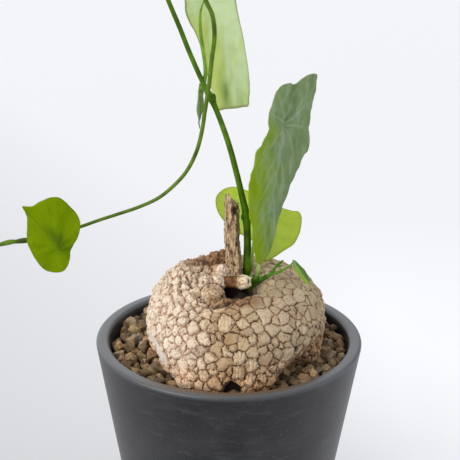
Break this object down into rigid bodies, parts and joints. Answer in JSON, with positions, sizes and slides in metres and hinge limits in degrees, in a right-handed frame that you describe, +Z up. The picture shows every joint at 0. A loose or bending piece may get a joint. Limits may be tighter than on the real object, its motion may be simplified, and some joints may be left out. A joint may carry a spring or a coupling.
{
  "type": "potted stephania suberosa",
  "caption": "Round caudex under cracked corky bark, set in gravel in a dark tapered pot, with a climbing green vine, a dead woody stem and shield-shaped leaves.",
  "frame": {"origin": "centre of the pot's flat base, on the surface that it stands on", "axes": "+Z up the plant, +Y to the back of the plant as it is seen, +X to its right"},
  "size_m": [0.17, 0.1194, 0.3182],
  "materials": {
    "pot_clay": "matt unglazed dark grey clay with pale mineral scuffs",
    "soil_mix": "dark gritty potting mix",
    "pumice_gravel": "dry porous tan and brown grit",
    "cork_bark": "dry cream cork plates with dark brown cracks",
    "dead_wood": "dry fibrous tan wood",
    "cut_wood": "amber brown skin with a pale cut end",
    "green_stem": "smooth deep green, slightly waxy",
    "leaf_green": "smooth waxy leaf, grey-green above",
    "leaf_pale": "smooth thin leaf, pale green underneath"
  },
  "bodies": {
    "root": {"pot": "pot_clay", "soil": "soil_mix", "gravel": "pumice_gravel", "caudex": "cork_bark", "cut_stub": "cut_wood", "dead_stem": "dead_wood", "vine": "green_stem", "side_shoot": "green_stem", "sprout": "green_stem", "big_leaf": "leaf_green", "left_leaf": "leaf_green", "upper_leaf": "leaf_green", "tip_leaf": "leaf_green", "sprout_leaf": "leaf_green", "back_leaf": "leaf_pale", "top_leaf": "leaf_pale", "narrow_leaf": "leaf_pale"}
  },
  "joints": []
}
